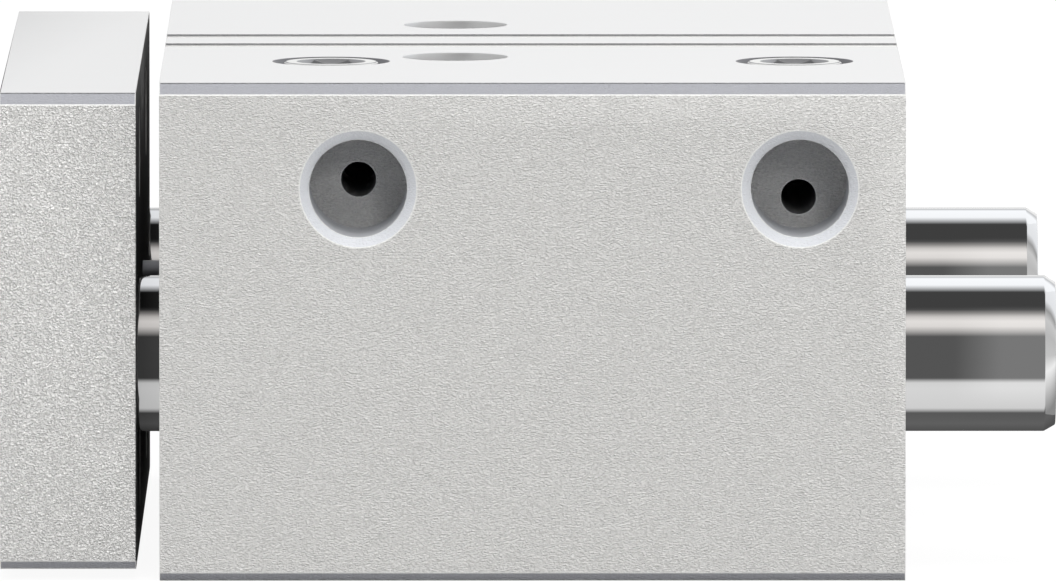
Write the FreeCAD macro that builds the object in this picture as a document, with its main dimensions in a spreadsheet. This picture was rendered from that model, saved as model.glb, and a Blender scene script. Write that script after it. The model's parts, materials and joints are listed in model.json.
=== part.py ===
"""Guided pneumatic cylinder: a 12 mm bore drive between two 8 mm guide rods that share a yoke plate.

Millimetres. X runs along the stroke and points to the rear, Y across the two guide rods, Z up.
The origin is the centre of the housing's underside. The air ports open on the -Y side, called the
port side here, and the opposite long side is the plain side. The drive is modelled retracted, and
extending moves the yoke towards -X. Threaded holes and screws are drawn at their nominal diameter.
"""
import FreeCAD, Part
import math
import os

import Sketcher

# alias, value in mm, what it measures
DRIVING_SIZES = [
    ("stroke", 10.0, "travel of the yoke"),
    ("bore_diameter", 12.0, "cylinder bore"),
    ("rod_diameter", 8.0, "guide rods"),
    ("rod_inset", 7.8, "long side of the housing to the guide rod axis"),
    ("axis_height", 11.0, "underside to the rods' common plane"),
    ("rod_tail", 7.8, "guide rod behind the housing when retracted"),
    ("rod_lead", 0.58, "length of the 30 degree leads at the rear ends of the guide rods"),
    ("body_width", 57.0, "housing across the guide rods"),
    ("body_height", 25.5, "housing"),
    ("top_chamfer", 0.6, "upper long edges of housing and yoke"),
    ("bottom_chamfer", 0.45, "lower long edges of housing and yoke"),
    ("seat_gap", 0.01, "radial gap of pressed and screwed pieces"),
    ("running_gap", 0.03, "radial gap of sliding pieces"),
    ("slot_spacing", 6.1, "centre to centre of the two sensor slots"),
    ("slot_mouth", 2.4, "width of a sensor slot at the surface"),
    ("slot_groove", 4.0, "diameter of the round part of a sensor slot"),
    ("slot_depth", 4.0, "surface to the bottom of a sensor slot"),
    ("port_thread", 5.0, "supply ports, M5"),
    ("port_mouth", 6.0, "countersink of the supply ports"),
    ("port_depth", 6.2, "supply ports"),
    ("port_drop", 5.4, "top face to the axis of the side ports"),
    ("front_port_inset", 10.15, "front face to the front side port"),
    ("rear_port_inset", 5.4, "rear face to the rear side port"),
    ("front_plug_inset", 8.7, "front face to the front top port"),
    ("rear_plug_inset", 5.5, "rear face to the rear top port"),
    ("plug_row_inset", 14.7, "port side to the row of top ports"),
    ("feed_bore", 1.8, "air passages"),
    ("rear_feed_drop", 0.9, "side port axis to the rear air passage"),
    ("plug_diameter", 4.9, "blanking plugs"),
    ("plug_length", 4.5, "blanking plugs"),
    ("plug_socket", 3.0, "hexagon of the blanking plugs across flats"),
    ("plug_socket_mouth", 3.5, "diameter of the lead-in of the plugs' hexagon"),
    ("plug_socket_depth", 2.2, "blanking plugs"),
    ("mount_spacing", 21.6, "between the two mounting holes"),
    ("mount_inset", 15.1, "front face to the mounting holes"),
    ("mount_thread", 5.0, "M5 at both ends of the mounting holes"),
    ("mount_thread_depth", 9.0, "threaded length at each end"),
    ("mount_through", 4.3, "mounting holes between their threads"),
    ("mount_mouth", 5.4, "relief at each end of the mounting holes"),
    ("mount_mouth_depth", 0.45, "relief at each end of the mounting holes"),
    ("tail_thread", 4.0, "rear mounting threads, M4"),
    ("tail_thread_depth", 8.0, "rear mounting threads"),
    ("tail_thread_spacing", 23.6, "between the two rear threads"),
    ("thread_countersink", 0.3, "lead-in of the mounting threads"),
    ("front_cap_diameter", 18.0, "bearing cap of the piston rod"),
    ("front_cap_end", 10.9, "front face to the inner end of the bearing cap"),
    ("rear_cap_diameter", 16.0, "rear cap"),
    ("rear_cap_end", 5.6, "rear face to the inner end of the rear cap"),
    ("clip_inset", 0.8, "end face to the retaining ring groove"),
    ("clip_thickness", 1.0, "retaining rings"),
    ("clip_groove_depth", 0.5, "radial depth of the retaining ring grooves"),
    ("clip_width", 1.6, "radial width of the retaining rings"),
    ("clip_lug", 1.3, "radius of the retaining ring lugs"),
    ("clip_lug_hole", 1.0, "holes in the retaining ring lugs"),
    ("clip_opening", 3.2, "between the lug centres"),
    ("ring_section", 1.2, "O-rings of both caps"),
    ("front_ring_inset", 6.0, "front face to the O-ring of the bearing cap"),
    ("rear_ring_inset", 3.4, "rear face to the O-ring of the rear cap"),
    ("feed_groove", 1.5, "radial depth of the air gap round each cap"),
    ("feed_groove_length", 1.9, "axial length of the air gap round each cap"),
    ("feed_slot", 1.6, "width of the air slots in the caps' inner ends"),
    ("piston_rod_diameter", 6.0, "piston rod"),
    ("rod_bush_wall", 1.0, "bush in the bearing cap"),
    ("rod_bush_length", 5.0, "bush in the bearing cap"),
    ("rod_seal_width", 2.4, "lip seal in the bearing cap"),
    ("rod_seal_wall", 1.9, "radial height of the lip seal"),
    ("cap_front_wall", 0.8, "bearing cap in front of the lip seal"),
    ("cushion_thickness", 0.6, "elastic end stops"),
    ("cushion_outer", 10.6, "diameter of the elastic end stops"),
    ("stop_gap", 0.05, "piston to end stop"),
    ("disc_length", 3.7, "each half of the piston"),
    ("disc_clearance", 0.15, "radial gap between piston half and bore"),
    ("magnet_length", 2.9, "ring magnet between the halves"),
    ("band_thickness", 0.7, "guide band round the magnet"),
    ("piston_seal_width", 1.7, "lip seals of the piston"),
    ("piston_seal_wall", 1.5, "radial height of the piston seals"),
    ("piston_seal_inset", 0.9, "end of the piston to its seal groove"),
    ("spigot_diameter", 4.0, "threaded end of the piston rod"),
    ("nut_flats", 6.0, "piston nut across flats"),
    ("nut_height", 1.8, "piston nut"),
    ("bush_wall", 1.0, "guide bushes"),
    ("bush_length", 10.0, "guide bushes"),
    ("bush_lead", 0.25, "chamfers of the guide bushes"),
    ("wiper_width", 2.0, "wiper rings of the guide rods"),
    ("wiper_wall", 2.0, "radial height of the wiper rings"),
    ("yoke_thickness", 6.95, "yoke plate"),
    ("yoke_gap", 1.2, "yoke to housing when retracted"),
    ("yoke_inset", 0.55, "yoke edges inside the housing outline"),
    ("rod_recess", 2.0, "guide rods let into the yoke"),
    ("piston_rod_recess", 1.5, "piston rod let into the yoke"),
    ("guide_screw", 4.0, "countersunk screws of the guide rods, M4"),
    ("guide_screw_head", 8.0, "head diameter"),
    ("guide_screw_length", 12.0, "overall"),
    ("guide_screw_socket", 2.5, "hexagon across flats"),
    ("piston_screw", 3.0, "countersunk screw of the piston rod, M3"),
    ("piston_screw_head", 6.0, "head diameter"),
    ("piston_screw_length", 12.0, "overall"),
    ("piston_screw_socket", 2.0, "hexagon across flats"),
    ("head_rim", 0.3, "cylindrical rim of the screw heads"),
    ("head_sink", 0.15, "screw heads below the yoke's front face"),
    ("tap_spare", 1.5, "tapped hole beyond the end of its screw"),
    ("yoke_thread", 4.0, "mounting threads of the yoke, M4"),
    ("yoke_thread_spacing", 26.0, "across the guide rods"),
    ("yoke_thread_rise", 16.0, "up the yoke"),
]

SHEET_NAME = "Sizes"
HEXAGON_CORNERS = 6
OUT = "parts"


class Size:
    """A length, together with the sheet expression that it comes from."""

    def __init__(self, number, text):
        self.number = number
        self.text = text

    def __add__(self, other):
        other = as_size(other)
        return Size(self.number + other.number, "(%s + %s)" % (self.text, other.text))

    def __sub__(self, other):
        other = as_size(other)
        return Size(self.number - other.number, "(%s - %s)" % (self.text, other.text))

    def __mul__(self, factor):
        return Size(self.number * factor, "(%s * %.9f)" % (self.text, factor))

    def __truediv__(self, divisor):
        return Size(self.number / divisor, "(%s / %.9f)" % (self.text, divisor))

    def __neg__(self):
        return Size(-self.number, "(-%s)" % self.text)


def as_size(value):
    return value if isinstance(value, Size) else Size(float(value), "%.9f" % value)


ZERO = as_size(0.0)


def make_sheet(doc):
    """Writes the driving sizes to the spreadsheet and returns them by alias."""
    sheet = doc.addObject("Spreadsheet::Sheet", SHEET_NAME)
    sizes = {}
    for row, (alias, value, meaning) in enumerate(DRIVING_SIZES, start=1):
        sheet.set("A%d" % row, alias)
        sheet.set("B%d" % row, str(value))
        sheet.set("C%d" % row, meaning)
        sheet.setAlias("B%d" % row, alias)
        sizes[alias] = Size(value, "%s.%s" % (SHEET_NAME, alias))
    doc.recompute()
    return sizes


def origin_feature(body, role):
    return next(f for f in body.Origin.OriginFeatures if f.Role == role)


def new_body(doc, label, at=(ZERO, ZERO, ZERO)):
    """An empty body whose origin is bound to the given place."""
    body = doc.addObject("PartDesign::Body", label)
    body.Label = label
    for axis, place in zip("xyz", at):
        body.setExpression("Placement.Base.%s" % axis, place.text)
    return body


def new_sketch(body, label, plane="XY_Plane", at=(ZERO, ZERO, ZERO)):
    """A sketch on one of the body's own planes, shifted in the plane's own x, y and normal."""
    sketch = body.newObject("Sketcher::SketchObject", "%s_%s" % (body.Name, label))
    sketch.AttachmentSupport = [(origin_feature(body, plane), "")]
    sketch.MapMode = "FlatFace"
    for axis, place in zip("xyz", at):
        sketch.setExpression("AttachmentOffset.Base.%s" % axis, place.text)
    return sketch


def pin_point(sketch, geometry, end, x, y):
    """Holds one end of a line, or a circle's centre, at x and y from the sketch origin."""
    for kind, size in (("DistanceX", x), ("DistanceY", y)):
        index = sketch.addConstraint(Sketcher.Constraint(kind, geometry, end, size.number))
        sketch.setExpression("Constraints[%d]" % index, size.text)


def draw_outline(sketch, corners):
    """A closed outline of straight lines through the corners."""
    first = sketch.GeometryCount
    places = [FreeCAD.Vector(x.number, y.number, 0) for x, y in corners]
    count = len(corners)
    for i in range(count):
        sketch.addGeometry(Part.LineSegment(places[i], places[(i + 1) % count]), False)
    for i in range(count):
        following = first + (i + 1) % count
        sketch.addConstraint(Sketcher.Constraint("Coincident", first + i, 2, following, 1))
    for i, (x, y) in enumerate(corners):
        pin_point(sketch, first + i, 1, x, y)


def draw_circle(sketch, x, y, diameter):
    centre = FreeCAD.Vector(x.number, y.number, 0)
    normal = FreeCAD.Vector(0, 0, 1)
    index = sketch.addGeometry(Part.Circle(centre, normal, diameter.number / 2), False)
    pin_point(sketch, index, 3, x, y)
    constraint = sketch.addConstraint(Sketcher.Constraint("Diameter", index, diameter.number))
    sketch.setExpression("Constraints[%d]" % constraint, diameter.text)


def draw_hexagon(sketch, flats):
    """A hexagon round the sketch origin, with two corners on the sketch's x axis."""
    radius = flats / math.sqrt(3)
    step = 2 * math.pi / HEXAGON_CORNERS
    corners = [(radius * math.cos(step * i), radius * math.sin(step * i)) for i in range(HEXAGON_CORNERS)]
    draw_outline(sketch, corners)


def box_corners(low_x, low_y, high_x, high_y):
    return [(low_x, low_y), (high_x, low_y), (high_x, high_y), (low_x, high_y)]


def add_feature(body, kind, label, sketch):
    feature = body.newObject("PartDesign::%s" % kind, "%s_%s" % (body.Name, label))
    feature.Profile = sketch
    return feature


def pad(body, label, sketch, length):
    """Adds material on the positive side of the sketch."""
    feature = add_feature(body, "Pad", label, sketch)
    feature.setExpression("Length", length.text)
    return feature


def pocket(body, label, sketch, length):
    """Cuts on the positive side of the sketch."""
    feature = add_feature(body, "Pocket", label, sketch)
    feature.Reversed = True
    feature.setExpression("Length", length.text)
    return feature


def turn(body, label, outline, plane="XY_Plane", at=(ZERO, ZERO, ZERO), axis="H_Axis", cut=False):
    """Revolves an outline round an axis of its own sketch, to add material or to cut it."""
    sketch = new_sketch(body, label + "_outline", plane, at)
    draw_outline(sketch, outline)
    feature = add_feature(body, "Groove" if cut else "Revolution", label, sketch)
    feature.ReferenceAxis = (sketch, [axis])
    feature.Angle = 360
    return feature


def mirror(body, label, features, plane="XZ_Plane"):
    """Repeats cuts on the other side of one of the body's planes."""
    feature = body.newObject("PartDesign::Mirrored", "%s_%s" % (body.Name, label))
    feature.Originals = features
    feature.MirrorPlane = (origin_feature(body, plane), [""])
    body.Tip = feature
    return feature


def turned_part(doc, label, at, outline):
    """A piece turned about the X direction, drawn from its front end at the given place."""
    body = new_body(doc, label, at)
    turn(body, "turned", outline)
    return body


def tube_outline(inner, outer, length, lead=None):
    """Half section of a tube from x = 0, with chamfers on its outer edges if lead is given."""
    if lead is None:
        return box_corners(ZERO, inner / 2, length, outer / 2)
    return [
        (ZERO, inner / 2),
        (length, inner / 2),
        (length, outer / 2 - lead),
        (length - lead, outer / 2),
        (lead, outer / 2),
        (ZERO, outer / 2 - lead),
    ]


def lip_ring_outline(inner, outer, width, lip_inside):
    """Half section of a lip seal from x = 0, grooved at its front between the two lips."""
    middle = (inner + outer) / 4
    quarter = (outer - inner) / 8
    relief = quarter / 2
    inner_waist = inner / 2 + relief if lip_inside else inner / 2
    outer_waist = outer / 2 if lip_inside else outer / 2 - relief
    return [
        (ZERO, inner / 2),
        (width / 2, inner_waist),
        (width, inner_waist),
        (width, outer_waist),
        (width / 2, outer_waist),
        (ZERO, outer / 2),
        (ZERO, middle + quarter),
        (width / 2, middle),
        (ZERO, middle - quarter),
    ]


def derive(s):
    """Adds the sizes that several pieces share, worked out from the driving ones."""
    s["piston_length"] = s["disc_length"] * 2 + s["magnet_length"]
    end_stops = (s["cushion_thickness"] + s["stop_gap"]) * 2
    s["chamber_length"] = s["stroke"] + s["piston_length"] + end_stops
    s["body_length"] = s["front_cap_end"] + s["chamber_length"] + s["rear_cap_end"]
    s["front_x"] = -s["body_length"] / 2
    s["rear_x"] = s["body_length"] / 2
    s["yoke_back_x"] = s["front_x"] - s["yoke_gap"]
    s["yoke_x"] = s["yoke_back_x"] - s["yoke_thickness"]
    s["bush_diameter"] = s["rod_diameter"] + (s["running_gap"] + s["bush_wall"] + s["seat_gap"]) * 2
    s["wiper_seat"] = s["rod_diameter"] + (s["running_gap"] + s["wiper_wall"] + s["seat_gap"]) * 2
    rear_cushion = s["cushion_thickness"] + s["stop_gap"]
    s["piston_x"] = s["rear_x"] - s["rear_cap_end"] - rear_cushion - s["piston_length"]
    s["guide_y"] = s["body_width"] / 2 - s["rod_inset"]
    s["clip_groove"] = s["clip_groove_depth"] * 2
    return s


# ---------------------------------------------------------------- housing


def edge_outline(width, bottom, top, s):
    """Outline across the guide rods with the chamfers of housing and yoke."""
    half = width / 2
    low = s["bottom_chamfer"]
    high = s["top_chamfer"]
    return [
        (-half + low, bottom),
        (half - low, bottom),
        (half, bottom + low),
        (half, top - high),
        (half - high, top),
        (-half + high, top),
        (-half, top - high),
        (-half, bottom + low),
    ]


def piston_bore_outline(s):
    """Half section of the cylinder bore with the seats and ring grooves of both caps."""
    front_seat = s["front_cap_diameter"] / 2
    rear_seat = s["rear_cap_diameter"] / 2
    bore = s["bore_diameter"] / 2
    length = s["body_length"]
    clip_start = s["clip_inset"]
    clip_end = clip_start + s["clip_thickness"] + s["seat_gap"] * 2
    rear_shoulder = length - s["rear_cap_end"]
    return [
        (ZERO, ZERO),
        (ZERO, front_seat),
        (clip_start, front_seat),
        (clip_start, front_seat + s["clip_groove_depth"]),
        (clip_end, front_seat + s["clip_groove_depth"]),
        (clip_end, front_seat),
        (s["front_cap_end"], front_seat),
        (s["front_cap_end"], bore),
        (rear_shoulder, bore),
        (rear_shoulder, rear_seat),
        (length - clip_end, rear_seat),
        (length - clip_end, rear_seat + s["clip_groove_depth"]),
        (length - clip_start, rear_seat + s["clip_groove_depth"]),
        (length - clip_start, rear_seat),
        (length, rear_seat),
        (length, ZERO),
    ]


def guide_bore_outline(s):
    """Half section of a guide bore with the wiper's seat at its front."""
    bore = s["bush_diameter"] / 2
    wiper = s["wiper_seat"] / 2
    return [
        (ZERO, ZERO),
        (ZERO, wiper),
        (s["wiper_width"], wiper),
        (s["wiper_width"], bore),
        (s["body_length"], bore),
        (s["body_length"], ZERO),
    ]


def port_outline(s):
    """Half section of a supply port, drawn inwards from its mouth, with the drill point left out."""
    thread = s["port_thread"] / 2
    mouth = s["port_mouth"] / 2
    return [
        (ZERO, ZERO),
        (ZERO, mouth),
        (mouth - thread, thread),
        (s["port_depth"], thread),
        (s["port_depth"], ZERO),
    ]


def mount_hole_outline(s):
    """Half section of a mounting hole from the underside up, threaded from both faces."""
    height = s["body_height"]
    mouth = s["mount_mouth"] / 2
    thread = s["mount_thread"] / 2
    through = s["mount_through"] / 2
    return [
        (ZERO, ZERO),
        (mouth, ZERO),
        (mouth, s["mount_mouth_depth"]),
        (thread, s["mount_mouth_depth"]),
        (thread, s["mount_thread_depth"]),
        (through, s["mount_thread_depth"]),
        (through, height - s["mount_thread_depth"]),
        (thread, height - s["mount_thread_depth"]),
        (thread, height - s["mount_mouth_depth"]),
        (mouth, height - s["mount_mouth_depth"]),
        (mouth, height),
        (ZERO, height),
    ]


def thread_outline(diameter, depth, s):
    """Half section of a blind thread drawn inwards from its mouth, with its lead-in and drill point."""
    thread = diameter / 2
    lead = s["thread_countersink"]
    return [
        (ZERO, ZERO),
        (ZERO, thread + lead),
        (lead, thread),
        (depth, thread),
        (depth + thread / math.sqrt(3), ZERO),
    ]


def flip(outline, end):
    """The same half section drawn backwards from a face at the given distance."""
    return [(end - along, radius) for along, radius in outline]


def upright(outline, top):
    """A half section that was drawn inwards, hung down from the top face."""
    return [(radius, top - along) for along, radius in outline]


def cut_side_port(body, label, inset_x, feed_drop, s):
    """A supply port on the port side, and the air passage from its floor to the bore's end."""
    side = -s["body_width"] / 2
    height = s["body_height"] - s["port_drop"]
    outline = [(side + along, radius) for along, radius in port_outline(s)]
    turn(body, label, outline, "YZ_Plane", (ZERO, height, inset_x), cut=True)
    passage = box_corners(side + s["port_depth"], ZERO, ZERO, s["feed_bore"] / 2)
    feed_place = (ZERO, height - feed_drop, inset_x)
    turn(body, label + "_feed", passage, "YZ_Plane", feed_place, cut=True)


def cut_top_port(body, label, inset_x, s):
    """A second port over the air passage, closed by a blanking plug."""
    place = (s["plug_row_inset"] - s["body_width"] / 2, ZERO, inset_x)
    outline = upright(port_outline(s), s["body_height"])
    turn(body, label, outline, "YZ_Plane", place, "V_Axis", cut=True)


def make_housing(doc, s):
    body = new_body(doc, "housing", (s["front_x"], ZERO, ZERO))
    profile = new_sketch(body, "profile", "YZ_Plane")
    draw_outline(profile, edge_outline(s["body_width"], ZERO, s["body_height"], s))
    pad(body, "extrusion", profile, s["body_length"])

    groove_height = s["body_height"] - s["slot_depth"] + s["slot_groove"] / 2
    mouths = new_sketch(body, "slot_mouths", "YZ_Plane")
    grooves = new_sketch(body, "slot_grooves", "YZ_Plane")
    for middle in (-s["slot_spacing"] / 2, s["slot_spacing"] / 2):
        half = s["slot_mouth"] / 2
        mouth = box_corners(middle - half, groove_height, middle + half, s["body_height"])
        draw_outline(mouths, mouth)
        draw_circle(grooves, middle, groove_height, s["slot_groove"])
    pocket(body, "slot_mouth_cut", mouths, s["body_length"])
    pocket(body, "slot_groove_cut", grooves, s["body_length"])

    axis_place = (ZERO, s["axis_height"], ZERO)
    turn(body, "piston_bore", piston_bore_outline(s), "XZ_Plane", axis_place, cut=True)
    guide_place = (ZERO, s["axis_height"], s["guide_y"])
    guide = turn(body, "guide_bore", guide_bore_outline(s), "XZ_Plane", guide_place, cut=True)

    mount_place = (s["mount_spacing"] / 2, ZERO, s["mount_inset"])
    mount = turn(
        body, "mount_hole", mount_hole_outline(s), "YZ_Plane", mount_place, "V_Axis", cut=True
    )
    tail = flip(thread_outline(s["tail_thread"], s["tail_thread_depth"], s), s["body_length"])
    tail_place = (ZERO, s["axis_height"], s["tail_thread_spacing"] / 2)
    tail_cut = turn(body, "tail_thread", tail, "XZ_Plane", tail_place, cut=True)
    mirror(body, "both_sides", [guide, mount, tail_cut])

    rear = s["body_length"]
    cut_side_port(body, "front_port", s["front_port_inset"], ZERO, s)
    cut_side_port(body, "rear_port", rear - s["rear_port_inset"], s["rear_feed_drop"], s)
    cut_top_port(body, "front_top_port", s["front_plug_inset"], s)
    cut_top_port(body, "rear_top_port", rear - s["rear_plug_inset"], s)
    return body


def make_blanking_plug(doc, label, x, s):
    """A threaded plug with a hexagon socket, flush with the top face."""
    y = s["plug_row_inset"] - s["body_width"] / 2
    body = new_body(doc, label, (x, y, s["body_height"] - s["plug_length"]))
    radius = s["plug_diameter"] / 2
    lead = s["thread_countersink"]
    outline = [
        (ZERO, ZERO),
        (radius - lead, ZERO),
        (radius, lead),
        (radius, s["plug_length"] - lead / 3),
        (radius - lead / 3, s["plug_length"]),
        (ZERO, s["plug_length"]),
    ]
    turn(body, "turned", outline, "XZ_Plane", axis="V_Axis")
    mouth = s["plug_socket_mouth"] / 2
    cone = [
        (ZERO, s["plug_length"]),
        (mouth, s["plug_length"]),
        (ZERO, s["plug_length"] - mouth),
    ]
    turn(body, "socket_lead", cone, "XZ_Plane", axis="V_Axis", cut=True)
    socket = new_sketch(body, "socket", "XY_Plane", (ZERO, ZERO, s["plug_length"] - s["plug_socket_depth"]))
    draw_hexagon(socket, s["plug_socket"])
    pocket(body, "socket_cut", socket, s["plug_socket_depth"])
    return body


# ---------------------------------------------------------------- cylinder ends


def cut_feed_slots(body, start, length, outer, s):
    """Two crossed air slots in the inner end of a cap, which lead the air into the bore."""
    slots = new_sketch(body, "feed_slots", "YZ_Plane", (ZERO, ZERO, start))
    half = s["feed_slot"] / 2
    reach = outer / 2
    corners = [
        (-half, -reach),
        (half, -reach),
        (half, -half),
        (reach, -half),
        (reach, half),
        (half, half),
        (half, reach),
        (-half, reach),
        (-half, half),
        (-reach, half),
        (-reach, -half),
        (-half, -half),
    ]
    draw_outline(slots, corners)
    pocket(body, "feed_slot_cut", slots, length)


def make_front_cap(doc, s):
    """The bearing cap: it holds the piston rod's bush and seal, and seals the bore's front."""
    start = s["clip_inset"] + s["clip_thickness"] + s["seat_gap"] * 2
    outer = s["front_cap_diameter"] / 2 - s["seat_gap"]
    groove = s["front_cap_diameter"] / 2 - s["ring_section"] + s["seat_gap"]
    ring_half = s["ring_section"] / 2 + s["seat_gap"]
    ring_middle = s["front_ring_inset"] - start
    end = s["front_cap_end"] - start
    feed_start = end - s["feed_groove_length"]
    rod_hole = s["piston_rod_diameter"] / 2 + s["running_gap"]
    seal_seat = rod_hole + s["rod_seal_wall"] + s["seat_gap"]
    bush_seat = rod_hole + s["rod_bush_wall"] + s["seat_gap"]
    seal_end = s["cap_front_wall"] + s["rod_seal_width"] + s["seat_gap"] * 2
    bush_end = seal_end + s["rod_bush_length"] + s["seat_gap"]
    lip = rod_hole + s["disc_clearance"]
    outline = [
        (ZERO, lip),
        (s["cap_front_wall"], lip),
        (s["cap_front_wall"], seal_seat),
        (seal_end, seal_seat),
        (seal_end, bush_seat),
        (bush_end, bush_seat),
        (bush_end, lip),
        (end, lip),
        (end, outer - s["feed_groove"]),
        (feed_start, outer - s["feed_groove"]),
        (feed_start, outer),
        (ring_middle + ring_half, outer),
        (ring_middle + ring_half, groove),
        (ring_middle - ring_half, groove),
        (ring_middle - ring_half, outer),
        (ZERO, outer),
    ]
    body = turned_part(doc, "front_cap", (s["front_x"] + start, ZERO, s["axis_height"]), outline)
    depth = s["feed_groove_length"] / 2
    cut_feed_slots(body, end - depth, depth, s["front_cap_diameter"], s)

    seal_x = s["front_x"] + start + s["cap_front_wall"] + s["seat_gap"]
    bush_x = s["front_x"] + start + seal_end
    inner = s["piston_rod_diameter"] + s["running_gap"] * 2
    seal_outer = inner + s["rod_seal_wall"] * 2
    bush_outer = inner + s["rod_bush_wall"] * 2
    make_rod_seal(doc, seal_x, inner, seal_outer, s)
    bush_place = (bush_x, ZERO, s["axis_height"])
    turned_part(doc, "rod_bush", bush_place, tube_outline(inner, bush_outer, s["rod_bush_length"]))
    make_cap_ring(doc, "front_cap_o_ring", s["front_x"] + s["front_ring_inset"], s["front_cap_diameter"], s)
    return body


def make_rod_seal(doc, x, inner, outer, s):
    """Lip seal that opens towards the bore."""
    outline = flip(lip_ring_outline(inner, outer, s["rod_seal_width"], True), s["rod_seal_width"])
    turned_part(doc, "rod_seal", (x, ZERO, s["axis_height"]), outline)


def make_rear_cap(doc, s):
    """The disc that closes the bore's rear, held by a retaining ring."""
    start = s["clip_inset"] + s["clip_thickness"] + s["seat_gap"] * 2
    outer = s["rear_cap_diameter"] / 2 - s["seat_gap"]
    groove = s["rear_cap_diameter"] / 2 - s["ring_section"] + s["seat_gap"]
    ring_half = s["ring_section"] / 2 + s["seat_gap"]
    length = s["rear_cap_end"] - start
    ring_middle = s["rear_cap_end"] - s["rear_ring_inset"]
    feed_end = ring_middle - ring_half - s["head_rim"]
    dish = s["bore_diameter"] / 4
    outline = [
        (ZERO, ZERO),
        (ZERO, outer - s["feed_groove"]),
        (feed_end, outer - s["feed_groove"]),
        (feed_end, outer),
        (ring_middle - ring_half, outer),
        (ring_middle - ring_half, groove),
        (ring_middle + ring_half, groove),
        (ring_middle + ring_half, outer),
        (length, outer),
        (length, dish + s["head_rim"]),
        (length - s["head_rim"], dish),
        (length - s["head_rim"], ZERO),
    ]
    x = s["rear_x"] - s["rear_cap_end"]
    body = turned_part(doc, "rear_cap", (x, ZERO, s["axis_height"]), outline)
    depth = feed_end / 2
    cut_feed_slots(body, ZERO, depth, s["rear_cap_diameter"], s)
    make_cap_ring(doc, "rear_cap_o_ring", s["rear_x"] - s["rear_ring_inset"], s["rear_cap_diameter"], s)
    return body


def make_cap_ring(doc, label, x, seat_diameter, s):
    """O-ring between a cap and its seat, squeezed flat on all four sides of its groove."""
    middle = seat_diameter / 2 - s["ring_section"] / 2
    half = s["ring_section"] / 2 - s["seat_gap"] * 2
    flat = half * math.tan(math.pi / 8)
    outline = [
        (-half, middle - flat),
        (-flat, middle - half),
        (flat, middle - half),
        (half, middle - flat),
        (half, middle + flat),
        (flat, middle + half),
        (-flat, middle + half),
        (-half, middle + flat),
    ]
    return turned_part(doc, label, (x, ZERO, s["axis_height"]), outline)


def make_retaining_ring(doc, label, x, seat_diameter, s):
    """Internal retaining ring: an open ring in the housing's groove with two lugs at its gap."""
    body = new_body(doc, label, (x, ZERO, s["axis_height"]))
    outer = seat_diameter + s["clip_groove"] - s["seat_gap"] * 2
    inner = outer - s["clip_width"] * 2
    ring = new_sketch(body, "ring", "YZ_Plane")
    draw_circle(ring, ZERO, ZERO, outer)
    draw_circle(ring, ZERO, ZERO, inner)
    pad(body, "ring_plate", ring, s["clip_thickness"])

    lug_y = s["clip_opening"] / 2
    lug_z = inner / 2 + s["clip_width"] / 2 - s["clip_lug"]
    lug_diameter = s["clip_lug"] * 2
    for side, y in (("left", -lug_y), ("right", lug_y)):
        lug = new_sketch(body, side + "_lug", "YZ_Plane")
        draw_circle(lug, y, lug_z, lug_diameter)
        pad(body, side + "_lug_plate", lug, s["clip_thickness"])

    gap_half = lug_y - s["clip_lug"]
    gap = new_sketch(body, "gap", "YZ_Plane")
    draw_outline(gap, box_corners(-gap_half, ZERO, gap_half, outer))
    pocket(body, "gap_cut", gap, s["clip_thickness"])
    holes = new_sketch(body, "lug_holes", "YZ_Plane")
    for y in (-lug_y, lug_y):
        draw_circle(holes, y, lug_z, s["clip_lug_hole"])
    pocket(body, "lug_hole_cut", holes, s["clip_thickness"])
    return body


def make_cylinder_ends(doc, s):
    make_front_cap(doc, s)
    make_rear_cap(doc, s)
    front_clip_x = s["front_x"] + s["clip_inset"] + s["seat_gap"]
    rear_clip_x = s["rear_x"] - s["clip_inset"] - s["clip_thickness"] - s["seat_gap"]
    make_retaining_ring(doc, "front_retaining_ring", front_clip_x, s["front_cap_diameter"], s)
    make_retaining_ring(doc, "rear_retaining_ring", rear_clip_x, s["rear_cap_diameter"], s)
    hole = s["piston_rod_diameter"] + (s["running_gap"] + s["disc_clearance"]) * 2
    cushion = tube_outline(hole, s["cushion_outer"], s["cushion_thickness"])
    front_x = s["front_x"] + s["front_cap_end"]
    rear_x = s["rear_x"] - s["rear_cap_end"] - s["cushion_thickness"]
    turned_part(doc, "front_cushion", (front_x, ZERO, s["axis_height"]), cushion)
    turned_part(doc, "rear_cushion", (rear_x, ZERO, s["axis_height"]), cushion)


# ---------------------------------------------------------------- guides


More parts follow.
